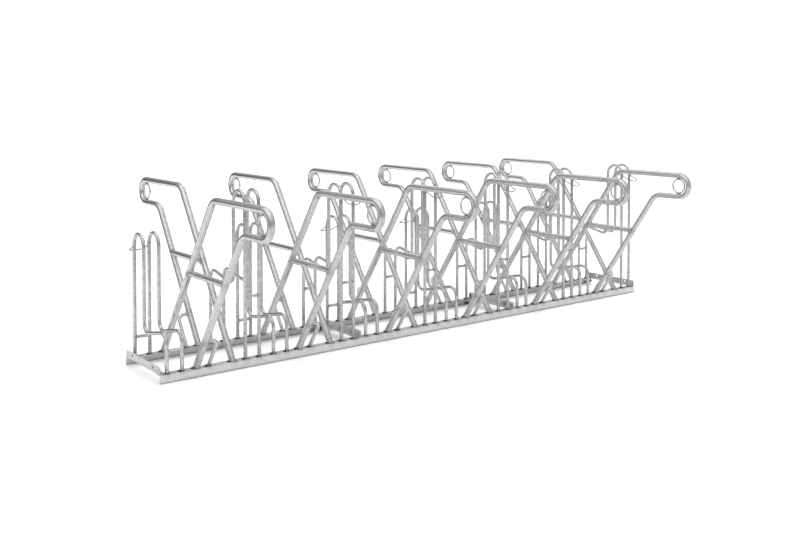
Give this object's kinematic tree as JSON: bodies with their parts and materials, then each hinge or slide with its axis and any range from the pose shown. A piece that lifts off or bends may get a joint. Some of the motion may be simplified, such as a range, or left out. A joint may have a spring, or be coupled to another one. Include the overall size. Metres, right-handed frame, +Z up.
{
  "type": "two-sided bicycle rack",
  "caption": "Floor-standing two-sided bicycle rack: welded wheel holders at a low and a tall level between leaning locking frames with lock rings, on a bolted base of steel angles.",
  "frame": {"origin": "on the floor, below the middle of the rack", "axes": "+X along the rack, +Y from the front side to the back side, +Z up"},
  "size_m": [3.2398, 1.786, 0.837],
  "materials": {
    "base_angle": "hot-dip galvanised, light grey, slightly mottled",
    "holder_rod": "hot-dip galvanised, grey, satin",
    "frame_tube": "hot-dip galvanised, grey, satin",
    "ring_bar": "hot-dip galvanised, grey, satin",
    "bolt": "zinc plated, darker grey"
  },
  "bodies": {
    "root": {"rail_front_1": "base_angle", "rail_back_1": "base_angle", "cross_angle_left_1": "base_angle", "cross_angle_right_1": "base_angle", "rail_front_2": "base_angle", "rail_back_2": "base_angle", "cross_angle_left_2": "base_angle", "cross_angle_right_2": "base_angle", "rail_front_3": "base_angle", "rail_back_3": "base_angle", "cross_angle_left_3": "base_angle", "cross_angle_right_3": "base_angle", "joint_bolt_front_1": "bolt", "joint_bolt_back_1": "bolt", "joint_bolt_front_2": "bolt", "joint_bolt_back_2": "bolt", "wheel_holder_low_1": "holder_rod", "wheel_holder_tall_1": "holder_rod", "wheel_holder_low_2": "holder_rod", "wheel_holder_tall_2": "holder_rod", "wheel_holder_low_3": "holder_rod", "wheel_holder_tall_3": "holder_rod", "wheel_holder_low_4": "holder_rod", "wheel_holder_tall_4": "holder_rod", "wheel_holder_low_5": "holder_rod", "wheel_holder_tall_5": "holder_rod", "wheel_holder_low_6": "holder_rod", "wheel_holder_tall_6": "holder_rod", "lean_frame_front_1": "frame_tube", "lock_ring_front_1": "ring_bar", "lean_frame_back_1": "frame_tube", "lock_ring_back_1": "ring_bar", "lean_frame_front_2": "frame_tube", "lock_ring_front_2": "ring_bar", "lean_frame_back_2": "frame_tube", "lock_ring_back_2": "ring_bar", "lean_frame_front_3": "frame_tube", "lock_ring_front_3": "ring_bar", "lean_frame_back_3": "frame_tube", "lock_ring_back_3": "ring_bar", "lean_frame_front_4": "frame_tube", "lock_ring_front_4": "ring_bar", "lean_frame_back_4": "frame_tube", "lock_ring_back_4": "ring_bar", "lean_frame_front_5": "frame_tube", "lock_ring_front_5": "ring_bar", "lean_frame_back_5": "frame_tube", "lock_ring_back_5": "ring_bar", "lean_frame_front_6": "frame_tube", "lock_ring_front_6": "ring_bar", "lean_frame_back_6": "frame_tube", "lock_ring_back_6": "ring_bar"}
  },
  "joints": []
}
